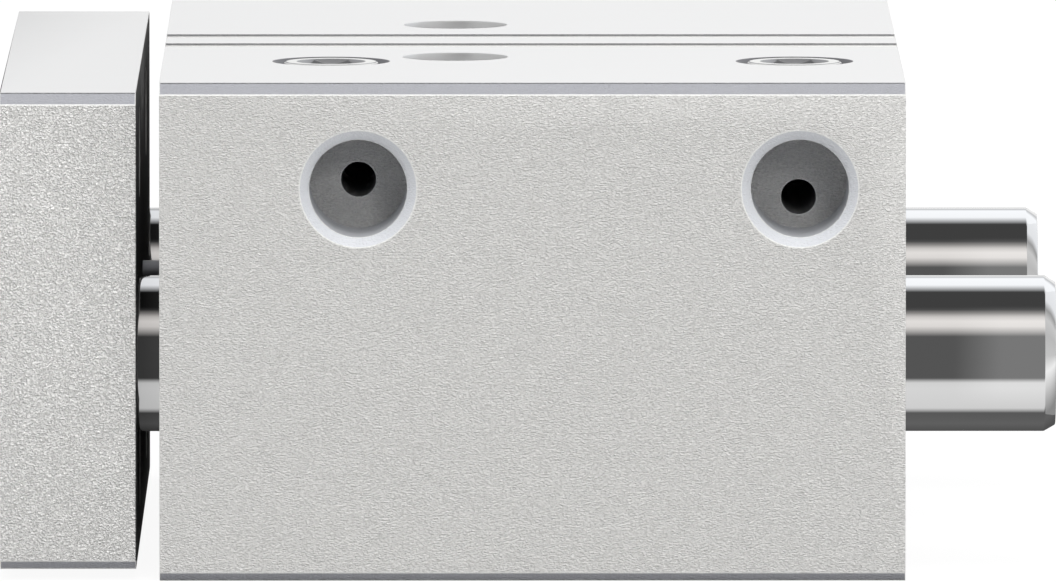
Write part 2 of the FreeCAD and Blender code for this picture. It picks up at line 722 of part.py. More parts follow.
def make_guides(doc, s):
    """Guide rods with their bushes and wipers, one set on each side."""
    rod_start = s["yoke_back_x"] - s["rod_recess"]
    rod_length = s["rear_x"] + s["rod_tail"] - rod_start
    radius = s["rod_diameter"] / 2
    tap = s["guide_screw"] / 2 + s["seat_gap"]
    in_yoke = s["yoke_thickness"] - s["rod_recess"] - s["head_sink"]
    tap_depth = s["guide_screw_length"] - in_yoke + s["tap_spare"]
    lead = s["thread_countersink"]
    rod_outline = [
        (ZERO, tap),
        (ZERO, radius - lead),
        (lead, radius),
        (rod_length - s["rod_lead"], radius),
        (rod_length, radius - s["rod_lead"] / math.sqrt(3)),
        (rod_length, ZERO),
        (tap_depth + tap / math.sqrt(3), ZERO),
        (tap_depth, tap),
    ]
    inner = s["rod_diameter"] + s["running_gap"] * 2
    bush = tube_outline(inner, s["bush_diameter"] - s["seat_gap"] * 2, s["bush_length"], s["bush_lead"])
    wiper_outer = s["wiper_seat"] - s["seat_gap"] * 2
    wiper = lip_ring_outline(inner, wiper_outer, s["wiper_width"], True)
    height = s["axis_height"]
    for side, y in (("port_side", -s["guide_y"]), ("plain_side", s["guide_y"])):
        turned_part(doc, "guide_rod_" + side, (rod_start, y, height), rod_outline)
        turned_part(doc, "guide_wiper_" + side, (s["front_x"], y, height), wiper)
        front_x = s["front_x"] + s["wiper_width"] + s["seat_gap"]
        rear_x = s["rear_x"] - s["bush_length"] - s["bush_lead"]
        turned_part(doc, "guide_bush_front_" + side, (front_x, y, height), bush)
        turned_part(doc, "guide_bush_rear_" + side, (rear_x, y, height), bush)


# ---------------------------------------------------------------- piston and rod


def make_piston_rod(doc, s):
    """Piston rod: tapped in front for its screw, with a threaded spigot that carries the piston."""
    start = s["yoke_back_x"] - s["piston_rod_recess"]
    shoulder = s["piston_x"] - start
    radius = s["piston_rod_diameter"] / 2
    spigot = s["spigot_diameter"] / 2
    end = shoulder + s["piston_length"] - s["head_rim"]
    tap = s["piston_screw"] / 2 + s["seat_gap"]
    in_yoke = s["yoke_thickness"] - s["piston_rod_recess"] - s["head_sink"]
    tap_depth = s["piston_screw_length"] - in_yoke + s["tap_spare"]
    outline = [
        (ZERO, tap),
        (ZERO, radius),
        (shoulder, radius),
        (shoulder, spigot),
        (end - s["head_rim"], spigot),
        (end, spigot - s["head_rim"]),
        (end, ZERO),
        (tap_depth + tap / math.sqrt(3), ZERO),
        (tap_depth, tap),
    ]
    return turned_part(doc, "piston_rod", (start, ZERO, s["axis_height"]), outline)


def piston_disc_outline(s, nut_pocket):
    """Half section of a piston half from its outer end, with its seal groove."""
    hole = s["spigot_diameter"] / 2 + s["seat_gap"]
    outer = s["bore_diameter"] / 2 - s["disc_clearance"]
    groove = s["bore_diameter"] / 2 - s["running_gap"] - s["piston_seal_wall"] - s["seat_gap"]
    groove_start = s["piston_seal_inset"]
    groove_end = groove_start + s["piston_seal_width"] + s["seat_gap"] * 2
    outline = [
        (s["disc_length"], hole),
        (s["disc_length"], outer),
        (groove_end, outer),
        (groove_end, groove),
        (groove_start, groove),
        (groove_start, outer),
        (ZERO, outer),
    ]
    if nut_pocket:
        pocket_radius = s["nut_flats"] / math.sqrt(3) + s["seat_gap"]
        pocket_depth = s["nut_height"] + s["head_rim"]
        outline += [(ZERO, pocket_radius), (pocket_depth, pocket_radius), (pocket_depth, hole)]
    else:
        outline += [(ZERO, hole)]
    return outline


def make_piston(doc, s):
    """Two halves clamped round a magnet by a nut, each with its lip seal, and a guide band between."""
    height = s["axis_height"]
    end = s["piston_x"] + s["piston_length"]
    turned_part(doc, "piston_front_half", (s["piston_x"], ZERO, height), piston_disc_outline(s, False))
    rear_half = flip(piston_disc_outline(s, True), s["disc_length"])
    turned_part(doc, "piston_rear_half", (end - s["disc_length"], ZERO, height), rear_half)

    magnet_x = s["piston_x"] + s["disc_length"]
    band_outer = s["bore_diameter"] - s["running_gap"] * 2
    band_inner = band_outer - s["band_thickness"] * 2
    hole = s["spigot_diameter"] + s["seat_gap"] * 2
    magnet = tube_outline(hole, band_inner - s["seat_gap"] * 2, s["magnet_length"])
    band = tube_outline(band_inner, band_outer, s["magnet_length"] - s["seat_gap"] * 2)
    turned_part(doc, "piston_magnet", (magnet_x, ZERO, height), magnet)
    turned_part(doc, "piston_guide_band", (magnet_x + s["seat_gap"], ZERO, height), band)

    seal_inner = band_outer - s["piston_seal_wall"] * 2
    seal = lip_ring_outline(seal_inner, band_outer, s["piston_seal_width"], False)
    seal_inset = s["piston_seal_inset"] + s["seat_gap"]
    turned_part(doc, "piston_seal_front", (s["piston_x"] + seal_inset, ZERO, height), seal)
    rear_seal_x = end - seal_inset - s["piston_seal_width"]
    rear_seal = flip(seal, s["piston_seal_width"])
    turned_part(doc, "piston_seal_rear", (rear_seal_x, ZERO, height), rear_seal)

    nut_x = end - s["nut_height"] - s["head_rim"]
    nut = new_body(doc, "piston_nut", (nut_x, ZERO, height))
    sketch = new_sketch(nut, "hexagon", "YZ_Plane")
    draw_hexagon(sketch, s["nut_flats"])
    draw_circle(sketch, ZERO, ZERO, hole)
    pad(nut, "plate", sketch, s["nut_height"])


# ---------------------------------------------------------------- yoke


def screw_seat_outline(thread, head, recess_diameter, recess, s):
    """Half section of a yoke hole: countersink in front, rod recess behind."""
    clearance = thread / 2 + s["disc_clearance"]
    seat = head / 2 + s["seat_gap"]
    rim_end = s["head_sink"] + s["head_rim"]
    recess_radius = recess_diameter / 2 + s["seat_gap"]
    thickness = s["yoke_thickness"]
    return [
        (ZERO, ZERO),
        (ZERO, seat),
        (rim_end, seat),
        (rim_end + seat - clearance, clearance),
        (thickness - recess, clearance),
        (thickness - recess, recess_radius),
        (thickness, recess_radius),
        (thickness, ZERO),
    ]


def through_thread_outline(diameter, length, s):
    """Half section of a thread that goes right through a plate, countersunk on both sides."""
    radius = diameter / 2
    lead = s["thread_countersink"]
    return [
        (ZERO, ZERO),
        (ZERO, radius + lead),
        (lead, radius),
        (length - lead, radius),
        (length, radius + lead),
        (length, ZERO),
    ]


def make_yoke(doc, s):
    body = new_body(doc, "yoke_plate", (s["yoke_x"], ZERO, ZERO))
    profile = new_sketch(body, "profile", "YZ_Plane")
    width = s["body_width"] - s["yoke_inset"] * 2
    top = s["body_height"] - s["yoke_inset"]
    draw_outline(profile, edge_outline(width, s["yoke_inset"], top, s))
    pad(body, "plate", profile, s["yoke_thickness"])

    piston_seat = screw_seat_outline(
        s["piston_screw"], s["piston_screw_head"], s["piston_rod_diameter"], s["piston_rod_recess"], s
    )
    turn(body, "piston_rod_seat", piston_seat, "XZ_Plane", (ZERO, s["axis_height"], ZERO), cut=True)
    guide_seat = screw_seat_outline(
        s["guide_screw"], s["guide_screw_head"], s["rod_diameter"], s["rod_recess"], s
    )
    guide_place = (ZERO, s["axis_height"], s["guide_y"])
    guide = turn(body, "guide_rod_seat", guide_seat, "XZ_Plane", guide_place, cut=True)

    thread = through_thread_outline(s["yoke_thread"], s["yoke_thickness"], s)
    middle = s["body_height"] / 2
    across = s["yoke_thread_spacing"] / 2
    cuts = [guide]
    for label, height in (
        ("lower_thread", middle - s["yoke_thread_rise"] / 2),
        ("upper_thread", middle + s["yoke_thread_rise"] / 2),
    ):
        cuts.append(turn(body, label, thread, "XZ_Plane", (ZERO, height, across), cut=True))
    mirror(body, "both_sides", cuts)
    return body


def make_countersunk_screw(doc, label, y, thread, head, length, socket, s):
    """Countersunk screw with a hexagon socket, driven in from the yoke's front face."""
    radius = thread / 2
    head_radius = head / 2
    rim = s["head_rim"]
    cone_end = rim + head_radius - radius
    lead = s["thread_countersink"]
    outline = [
        (ZERO, ZERO),
        (ZERO, head_radius),
        (rim, head_radius),
        (cone_end, radius),
        (length - lead, radius),
        (length, radius - lead),
        (length, ZERO),
    ]
    place = (s["yoke_x"] + s["head_sink"], y, s["axis_height"])
    body = turned_part(doc, label, place, outline)
    socket_sketch = new_sketch(body, "socket", "YZ_Plane")
    draw_hexagon(socket_sketch, socket)
    pocket(body, "socket_cut", socket_sketch, socket * 0.6)
    return body


def make_yoke_screws(doc, s):
    for side, y in (("port_side", -s["guide_y"]), ("plain_side", s["guide_y"])):
        make_countersunk_screw(
            doc, "guide_rod_screw_" + side, y, s["guide_screw"], s["guide_screw_head"],
            s["guide_screw_length"], s["guide_screw_socket"], s,
        )
    make_countersunk_screw(
        doc, "piston_rod_screw", ZERO, s["piston_screw"], s["piston_screw_head"],
        s["piston_screw_length"], s["piston_screw_socket"], s,
    )


# ---------------------------------------------------------------- document


def check(doc):
    """Stops if any object failed to compute or any piece isn't one valid solid."""
    for item in doc.Objects:
        if "Invalid" in item.State or "Error" in item.State:
            raise RuntimeError("%s failed: %s" % (item.Label, item.State))
    for body in bodies(doc):
        shape = body.Shape
        if shape.isNull() or not shape.isValid() or len(shape.Solids) != 1:
            raise RuntimeError("%s isn't one valid solid" % body.Label)


def bodies(doc):
    return [item for item in doc.Objects if item.TypeId == "PartDesign::Body"]


def main():
    doc = FreeCAD.newDocument("guided_cylinder")
    s = derive(make_sheet(doc))
    make_housing(doc, s)
    make_blanking_plug(doc, "blanking_plug_front", s["front_x"] + s["front_plug_inset"], s)
    make_blanking_plug(doc, "blanking_plug_rear", s["rear_x"] - s["rear_plug_inset"], s)
    make_cylinder_ends(doc, s)
    make_guides(doc, s)
    make_piston_rod(doc, s)
    make_piston(doc, s)
    make_yoke(doc, s)
    make_yoke_screws(doc, s)
    doc.recompute()
    check(doc)
    os.makedirs(OUT, exist_ok=True)
    for body in bodies(doc):
        body.Shape.exportStep(os.path.join(OUT, body.Label + ".step"))


main()
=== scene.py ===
"""Dresses a compact guided pneumatic cylinder: block housing, yoke plate and two guide rods.

The frame is in metres: X runs along the stroke and points to the rear, Y across the guide rods away
from the air ports, Z up. Pieces are modelled round the frame's own nodes and mounts.
"""

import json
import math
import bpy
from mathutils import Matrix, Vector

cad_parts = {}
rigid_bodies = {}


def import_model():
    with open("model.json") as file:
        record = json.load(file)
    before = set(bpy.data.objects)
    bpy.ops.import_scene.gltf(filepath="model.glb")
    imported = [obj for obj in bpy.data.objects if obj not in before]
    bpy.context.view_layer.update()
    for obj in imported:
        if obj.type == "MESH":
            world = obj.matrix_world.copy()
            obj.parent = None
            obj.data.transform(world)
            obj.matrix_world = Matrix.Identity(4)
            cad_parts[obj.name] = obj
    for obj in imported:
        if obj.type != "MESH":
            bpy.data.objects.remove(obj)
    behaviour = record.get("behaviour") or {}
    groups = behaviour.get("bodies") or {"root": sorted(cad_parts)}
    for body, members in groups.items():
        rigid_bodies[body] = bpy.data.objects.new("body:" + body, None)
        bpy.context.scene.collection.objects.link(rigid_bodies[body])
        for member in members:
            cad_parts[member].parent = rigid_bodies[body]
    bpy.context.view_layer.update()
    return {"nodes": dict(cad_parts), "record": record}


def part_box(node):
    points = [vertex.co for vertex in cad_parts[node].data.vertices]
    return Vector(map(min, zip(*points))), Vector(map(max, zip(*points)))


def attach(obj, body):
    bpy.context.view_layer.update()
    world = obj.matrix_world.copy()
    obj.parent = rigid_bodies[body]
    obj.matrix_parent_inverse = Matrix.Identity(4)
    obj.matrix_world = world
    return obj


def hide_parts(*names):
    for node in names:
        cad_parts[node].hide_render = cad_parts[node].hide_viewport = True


bl_info = {
    "name": "Guided Cylinder",
    "version": (1, 0, 0),
    "blender": (4, 5, 0),
    "location": "View3D > Sidebar > Cylinder",
    "description": "Models and finishes a compact guided pneumatic cylinder round its fixed frame",
    "category": "Object",
}

import bmesh
import bpy
from mathutils import Matrix, Vector

for leftover in list(bpy.data.objects):
    bpy.data.objects.remove(leftover)

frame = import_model()
NODES = frame["nodes"]
MOUNTS = {mount["name"]: mount for mount in frame["record"]["mounts"]}

MM = 0.001
# vertices closer than this are one
WELD = 0.0005 * MM
# triangles that meet at less than this are one flat face
FLAT_ANGLE = math.radians(1.0)
# edges sharper than this are broken, and those sharper than the second stay sharp in the shading
SHARP_ANGLE = math.radians(25.0)
SMOOTH_ANGLE = math.radians(50.0)
# edges shorter than this get the round of small pieces
LONG_EDGE = 1.5 * MM
# places closer than this to a plane lie in it
NEAR = 0.01 * MM
# part of a face's normal along an axis: the face is square to the axis, leans to it or runs along it
SQUARE = 0.99
LEANING = 0.1
ALONG = 0.02
# what belongs to a feature lies this close to its axis, its plane or the face that it is sunk in
CHAMFER_REACH = 1.0 * MM
RIM_REACH = 3.2 * MM
PORT_DEPTH = 7.0 * MM
SEAT_DEPTH = 0.8 * MM
SLOT_REACH = 5.5 * MM
SLOT_LIP = 2.5 * MM
TOP_EDGE = 0.1 * MM
PLUG_SOCKET_REACH = 1.9 * MM
# depth over width of the broken edges of the sensor slots
SLOT_EDGE_STRETCH = 1.6
# a thread ridge starts this far in the wall, and has these half widths as shares of its pitch
THREAD_ROOT = 0.03 * MM
THREAD_FOOT = 0.44
THREAD_CREST = 0.08
THREAD_STEPS = 24
BOXES = {node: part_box(node) for node in ("housing", "yoke_plate")}
PLUGS = [
    sum(map(Vector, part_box(node)), Vector()) / 2
    for node in ("blanking_plug_front", "blanking_plug_rear")
]
PORTS = [Vector(MOUNTS[name]["pos_m"]) for name in ("front_port", "rear_port")]
HOLES = [
    Vector(MOUNTS["top_threads"]["pos_m"])
    + Vector((0.0, side * MOUNTS["top_threads"]["dims"]["spacing_y_mm"] / 2 * MM, 0.0))
    for side in (-1, 1)
]


def off_upright(place, axis):
    """Distance of a place from an upright axis."""
    return math.hypot(place.x - axis.x, place.y - axis.y)


def off_port(place, axis):
    """Distance of a place from the axis of a side port."""
    return math.hypot(place.x - axis.x, place.z - axis.z)


# ---------------------------------------------------------------- colours and nodes


def linear(code):
    """The linear colour of an sRGB hex value."""
    channels = [int(code[i : i + 2], 16) / 255 for i in (1, 3, 5)]
    return tuple(c / 12.92 if c <= 0.04045 else ((c + 0.055) / 1.055) ** 2.4 for c in channels)


def add_node(tree, kind, sockets=None, **settings):
    """Adds one shader node; a socket takes a value, an output, or a node for its first output."""
    node = tree.nodes.new("ShaderNode" + kind)
    for name, value in settings.items():
        setattr(node, name, value)
    for name, value in (sockets or {}).items():
        if isinstance(value, bpy.types.Node):
            value = value.outputs[0]
        if isinstance(value, bpy.types.NodeSocket):
            tree.links.new(value, node.inputs[name])
        else:
            node.inputs[name].default_value = value
    return node


def new_material(name):
    """An empty node material with its tree and its object coordinates."""
    material = bpy.data.materials.new(name)
    material.use_nodes = True
    tree = material.node_tree
    tree.nodes.clear()
    return material, tree, add_node(tree, "TexCoord").outputs["Object"]


# ---------------------------------------------------------------- settings


def length(name, description, default):
    """A length setting in metres."""
    return bpy.props.FloatProperty(
        name=name, description=description, default=default, unit="LENGTH", subtype="DISTANCE"
    )


def share(name, description, default):
    """A setting between none and all."""
    return bpy.props.FloatProperty(
        name=name, description=description, default=default, min=0.0, max=1.0, subtype="FACTOR"
    )


def angle(name, description, degrees):
    """An angle setting, given in degrees."""
    return bpy.props.FloatProperty(
        name=name, description=description, default=math.radians(degrees), subtype="ANGLE"
    )


def color(name, description, code):
    """A colour setting, given as an sRGB hex value."""
    return bpy.props.FloatVectorProperty(
        name=name, description=description, default=linear(code), size=3, subtype="COLOR"
    )


class FinishSettings(bpy.types.PropertyGroup):
    """Colours of the finishes, and of the painted light and shade on slot walls, plug seats, yoke back
    and piston rod
    """

    anodised: color("Anodised", "Clear anodised aluminium", "#d8d7d5")
    plate: color("Plate", "Clear anodised yoke plate", "#edecea")
    drawn: color("Drawn", "Top and underside of the housing", "#c7c7c7")
    drawn_plate: color("Drawn plate", "Top and underside of the yoke plate", "#c5c5c5")
    milled: color("Milled", "Milled and anodised chamfers", "#b3b4ba")
    turned: color("Turned", "Bored and turned aluminium", "#e4e4e4")
    seat: color("Seat", "Countersinks of the ports", "#ced0d4")
    edge: color("Edge", "Deburred edges", "#e6e6e4")
    # the slot walls are the drawn aluminium of the top, painted much lighter: painted light for the
    # light on their far walls
    slot: color("Slot wall light", "Walls of the sensor slots", "#f2f2f0")
    # the rear face of the yoke is bare machined aluminium, painted dark for the shade in the gap to the
    # housing
    bare_and_shaded: color("Bare and shaded", "Rear face of the yoke plate", "#5a5a5a")
    # a dark colour for the countersinks round the plugs: painted shade for the gap round each plug
    sunk: color("Plug seat shade", "Countersinks round the plugs", "#636366")
    # ground stainless steel, painted darker than it is for the shade in the gap between yoke and housing
    stainless: color("Shaded stainless", "Piston rod", "#77777a")
    glossy_edge: color("Glossy edge", "Edges drawn sharp along the stroke", "#b6b6b8")
    chrome: color("Chrome", "Hard chromed guide rods", "#f1f1f1")
    bronze: color("Bronze", "Sintered bronze of the bushes", "#a98458")
    steel: color("Steel", "Zinc plated screws", "#a9abad")
    nickel: color("Nickel", "Nickel plated plugs", "#d8d8d6")
    socket: color("Socket", "Hexagon sockets of the plugs", "#98989a")
    phosphate: color("Phosphate", "Phosphated spring steel", "#2c2b2d")
    rubber: color("Rubber", "Nitrile rubber", "#151515")
    polyurethane: color("Polyurethane", "Elastic end stops", "#3a3226")
    ferrite: color("Ferrite", "Bonded magnet", "#2d2d30")
    polymer: color("Polymer", "Filled guide band", "#232427")


class ShapeSettings(bpy.types.PropertyGroup):
    """Sizes of the fine shapes that the solids leave out"""

    edge_break: length("Edge break", "Width of the broken edges of housing and yoke", 0.07 * MM)
    seat_share: share("Seat share", "Depth of the port seats as a share of the solid's", 0.75)
    fine_break: length("Fine break", "Width of the broken edges of small pieces", 0.04 * MM)
    thread_height: share("Thread height", "Height of a thread ridge as a share of its pitch", 0.54)
    coarse_pitch: length("M5 pitch", "Thread pitch of the M5 holes", 0.8 * MM)
    fine_pitch: length("M4 pitch", "Thread pitch of the M4 holes", 0.7 * MM)


class StageSettings(bpy.types.PropertyGroup):
    """Camera and reflection tent"""

    camera_distance: length("Camera distance", "Camera to the port side of the housing", 1.2627)
    camera_elevation: angle("Camera elevation", "Camera above the horizon", 5.01)
    camera_azimuth: angle("Camera azimuth", "Camera round to the yoke end", 0.14)
    aim_rise: length("Aim rise", "Camera target above the middle of the housing", 2.14 * MM)
    aim_shift: length("Aim shift", "Camera target towards the yoke", 0.23 * MM)
    lens: bpy.props.FloatProperty(
        name="Lens", description="Focal length in mm", default=843.6, unit="CAMERA"
    )
    tent_radius: length("Tent radius", "Reflection tent round the drive", 2.0)
    tent_length: length("Tent length", "Reflection tent along the stroke", 2.4)


# ---------------------------------------------------------------- materials


def blasted_aluminium(name, tint, grain, stretch, depth, contrast):
    """Aluminium, blasted and clear anodised: pale and matt, with fine rounded pits."""
    material, tree, place = new_material(name)
    # real blasting leaves pits of about 0.03 mm: these are about three times as coarse, to show
    stretched = add_node(tree, "Mapping", {"Vector": place, "Scale": [1.0 / along for along in stretch]})
    pits = add_node(
        tree, "TexNoise", {"Vector": stretched, "Scale": 1.0 / grain, "Detail": 1.0, "Distortion": 0.6}
    )
    even = add_node(tree, "MapRange", {"Value": pits, "From Min": 0.3, "From Max": 0.7})
    relief = add_node(tree, "Bump", {"Height": even, "Distance": depth})
    clouds = add_node(tree, "TexNoise", {"Vector": place, "Scale": 1.0 / (6.0 * MM), "Detail": 2.0})
    rough = add_node(tree, "MapRange", {"Value": clouds, "To Min": 0.50, "To Max": 0.58})
    level = add_node(
        tree, "MapRange", {"Value": even, "To Min": 1.0 - contrast, "To Max": 1.0 + contrast}
    )
    shade = add_node(tree, "VectorMath", {"Vector": tint, "Scale": level}, operation="SCALE")
    shader = add_node(
        tree,
        "BsdfPrincipled",
        {"Base Color": shade, "Metallic": 0.2, "Roughness": rough, "Normal": relief},
    )
    add_node(tree, "OutputMaterial", {"Surface": shader})
    return material


def drawn_aluminium(name, tint, metallic):
    """Anodised aluminium as drawn through the die: smoother, with faint streaks along the stroke."""
    material, tree, place = new_material(name)
    # die lines 0.25 mm apart and 60 times as long
    along = add_node(tree, "Mapping", {"Vector": place, "Scale": (1.0 / 60.0, 1.0, 1.0)})
    streaks = add_node(
        tree, "TexNoise", {"Vector": along, "Scale": 1.0 / (0.25 * MM), "Detail": 2.0}
    )
    rough = add_node(tree, "MapRange", {"Value": streaks, "To Min": 0.36, "To Max": 0.46})
    relief = add_node(tree, "Bump", {"Height": streaks, "Distance": 0.002 * MM})
    level = add_node(tree, "MapRange", {"Value": streaks, "To Min": 0.98, "To Max": 1.02})
    shade = add_node(tree, "VectorMath", {"Vector": tint, "Scale": level}, operation="SCALE")
    shader = add_node(
        tree,
        "BsdfPrincipled",
        {"Base Color": shade, "Metallic": metallic, "Roughness": rough, "Normal": relief},
    )
    add_node(tree, "OutputMaterial", {"Surface": shader})
    return material


def milled_aluminium(name, tint, metallic, roughness):
    """Milled and anodised: bluish and glossier than the faces, with fine cutter marks."""
    material, tree, place = new_material(name)
    along = add_node(tree, "Mapping", {"Vector": place, "Scale": (0.5, 1.0, 1.0)})
    # real cutter marks are about 0.03 mm wide: these are coarser so that they show
    marks = add_node(
        tree, "TexNoise", {"Vector": along, "Scale": 1.0 / (0.07 * MM), "Detail": 1.0}
    )
    relief = add_node(tree, "Bump", {"Height": marks, "Distance": 0.05 * MM})
    shader = add_node(
        tree,
        "BsdfPrincipled",
        {"Base Color": (*tint, 1.0), "Metallic": metallic, "Roughness": roughness, "Normal": relief},
    )
    add_node(tree, "OutputMaterial", {"Surface": shader})
    return material


def worn_edge(name, tint, metallic):
    """Deburred edges: polished by handling, so they catch the light, with small nicks."""
    material, tree, place = new_material(name)
    nicks = add_node(tree, "TexNoise", {"Vector": place, "Scale": 1.0 / (0.12 * MM), "Detail": 2.0})
    rough = add_node(tree, "MapRange", {"Value": nicks, "To Min": 0.30, "To Max": 0.45})
    relief = add_node(tree, "Bump", {"Height": nicks, "Distance": 0.06 * MM})
    level = add_node(tree, "MapRange", {"Value": nicks, "To Min": 0.88, "To Max": 1.08})
    shade = add_node(tree, "VectorMath", {"Vector": tint, "Scale": level}, operation="SCALE")
    shader = add_node(
        tree,
        "BsdfPrincipled",
        {"Base Color": shade, "Metallic": metallic, "Roughness": rough, "Normal": relief},
    )
    add_node(tree, "OutputMaterial", {"Surface": shader})
    return material


def plain_metal(name, tint, roughness, metallic=1.0, grain=0.1, depth=0.002):
    """A machined, ground or plated metal: an even gloss with a fine grain, both given in mm."""
    material, tree, place = new_material(name)
    texture = add_node(
        tree, "TexNoise", {"Vector": place, "Scale": 1.0 / (grain * MM), "Detail": 2.0}
    )
    rough = add_node(
        tree,
        "MapRange",
        {"Value": texture, "To Min": roughness * 0.85, "To Max": roughness * 1.15},
    )
    relief = add_node(tree, "Bump", {"Height": texture, "Distance": depth * MM})
    shader = add_node(
        tree,
        "BsdfPrincipled",
        {"Base Color": (*tint, 1.0), "Metallic": metallic, "Roughness": rough, "Normal": relief},
    )
    add_node(tree, "OutputMaterial", {"Surface": shader})
    return material


def plain_polymer(name, tint, roughness):
    """Moulded rubber or plastic: dark and half matt, with a soft grain of 0.2 mm."""
    material, tree, place = new_material(name)
    texture = add_node(tree, "TexNoise", {"Vector": place, "Scale": 1.0 / (0.2 * MM), "Detail": 2.0})
    relief = add_node(tree, "Bump", {"Height": texture, "Distance": 0.003 * MM})
    shader = add_node(
        tree,
        "BsdfPrincipled",
        {"Base Color": (*tint, 1.0), "Roughness": roughness, "Normal": relief},
    )
    add_node(tree, "OutputMaterial", {"Surface": shader})
    return material


MATERIALS = {}


def make_materials():
    """Fills MATERIALS with every finish, under the names that the pieces ask for."""
    finish = bpy.context.scene.cylinder_finish
    MATERIALS["blasted"] = blasted_aluminium(
        "blasted_anodised_housing",
        finish.anodised,
        grain=0.075 * MM,
        stretch=(2.0, 1.0, 1.0),
        depth=0.068 * MM,
        contrast=0.11,
    )
    MATERIALS["coarse"] = blasted_aluminium(
        "blasted_anodised_plate",
        finish.plate,
        grain=0.095 * MM,
        stretch=(1.2, 1.0, 1.0),
        depth=0.15 * MM,
        contrast=0.23,
    )
    MATERIALS["drawn"] = drawn_aluminium("drawn_anodised_housing", finish.drawn, 0.0)
    MATERIALS["drawn_plate"] = drawn_aluminium("drawn_anodised_plate", finish.drawn_plate, 0.0)
    # painted light: the slot walls take a near white copy of the drawn finish
    MATERIALS["slot"] = drawn_aluminium("slot_wall_painted_light", finish.slot, 0.05)
    MATERIALS["milled"] = milled_aluminium("milled_anodised_chamfer", finish.milled, 0.45, 0.38)
    MATERIALS["seat"] = milled_aluminium("milled_port_seat", finish.seat, 0.15, 0.38)
    MATERIALS["port_wall"] = plain_metal("bored_port_wall", finish.seat, 0.35, metallic=0.15)
    # painted shade: the countersinks round the plugs are made dark
    MATERIALS["sunk_seat"] = plain_metal("plug_seat_painted_shade", finish.sunk, 0.4, metallic=0.4)
    # partly painted shade: a dark matt colour for the bare rear face of the yoke
    MATERIALS["plate_back"] = plain_metal("bare_and_shaded_plate_back", finish.bare_and_shaded, 0.85, metallic=0.0)
    MATERIALS["turned"] = plain_metal("turned_aluminium", finish.turned, 0.36, metallic=0.6)
    MATERIALS["bored"] = plain_metal("bored_aluminium", finish.turned, 0.4, metallic=0.75)
    MATERIALS["edge"] = worn_edge("deburred_aluminium_edge", finish.edge, 0.2)
    MATERIALS["glossy_edge"] = worn_edge("drawn_aluminium_edge", finish.glossy_edge, 0.9)
    MATERIALS["slot_edge"] = worn_edge("drawn_slot_edge", finish.glossy_edge, 0.72)
    MATERIALS["chrome"] = plain_metal("hard_chromed_steel", finish.chrome, 0.01, grain=0.4, depth=0.0)
    # partly painted shade: the piston rod's steel is darker than ground stainless
    MATERIALS["stainless"] = plain_metal("ground_shaded_stainless_steel", finish.stainless, 0.3)
    MATERIALS["bronze"] = plain_metal("sintered_bronze", finish.bronze, 0.42)
    MATERIALS["steel"] = plain_metal("zinc_plated_steel", finish.steel, 0.32)
    MATERIALS["nickel"] = plain_metal("nickel_plated_steel", finish.nickel, 0.3, metallic=0.3)
    MATERIALS["socket"] = plain_metal("broached_steel_socket", finish.socket, 0.35, metallic=0.6)
    MATERIALS["phosphate"] = plain_metal("phosphated_spring_steel", finish.phosphate, 0.5, metallic=0.6)
    MATERIALS["ferrite"] = plain_metal("bonded_ferrite", finish.ferrite, 0.6, metallic=0.2)
    MATERIALS["rubber"] = plain_polymer("nitrile_rubber", finish.rubber, 0.55)
    MATERIALS["polyurethane"] = plain_polymer("polyurethane_stop", finish.polyurethane, 0.45)
    MATERIALS["polymer"] = plain_polymer("filled_polymer", finish.polymer, 0.5)


# ---------------------------------------------------------------- mesh helpers


def new_piece(name, bm, body, materials):
    """Turns a bmesh into a piece that rides on a body, and frees the bmesh."""
    mesh = bpy.data.meshes.new(name)
    bm.to_mesh(mesh)
    bm.free()
    for material in materials:
        mesh.materials.append(MATERIALS[material])
    piece = bpy.data.objects.new(name, mesh)
    bpy.context.scene.collection.objects.link(piece)
    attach(piece, body)
    return piece


def welded_copy(node):
    """A bmesh of a node's solid, with its triangles joined to the flat faces they came from."""
    bm = bmesh.new()
    bm.from_mesh(NODES[node].data)
    bmesh.ops.remove_doubles(bm, verts=bm.verts, dist=WELD)
    bmesh.ops.dissolve_limit(bm, angle_limit=FLAT_ANGLE, verts=bm.verts, edges=bm.edges)
    return bm


def break_edges(bm, width, slot, shortest, longest):
    """Gives the outer sharp edges between two lengths a narrow round, in its own material slot."""
    sharp = [
        edge
        for edge in bm.edges
        if edge.is_convex
        and shortest <= edge.calc_length() < longest
        and edge.calc_face_angle() > SHARP_ANGLE
    ]
    rounds = bmesh.ops.bevel(
        bm,
        geom=sharp,
        affect="EDGES",
        offset=width,
        offset_type="OFFSET",
        segments=2,
        profile=0.5,
        clamp_overlap=False,
        loop_slide=False,
        material=-1,
    )
    for face in rounds["faces"]:
        face.material_index = slot


def raise_port_seats(bm):
    """Makes the countersinks of the side ports shallower than in the solid."""
    low = BOXES["housing"][0]
    kept = bpy.context.scene.cylinder_shape.seat_share
    for vert in bm.verts:
        sunk = vert.co.y - low.y
        in_seat = NEAR < sunk < SEAT_DEPTH
        if in_seat and any(off_port(vert.co, port) < RIM_REACH for port in PORTS):
            vert.co.y = low.y + kept * sunk


def deepen_slot_edges(bm):
    """Makes the broken edges of the sensor slots deeper than they are wide."""
    high = BOXES["housing"][1]
    for vert in bm.verts:
        sunk = high.z - vert.co.z
        if NEAR < sunk < TOP_EDGE and abs(vert.co.y) < SLOT_REACH:
            vert.co.z = high.z - SLOT_EDGE_STRETCH * sunk


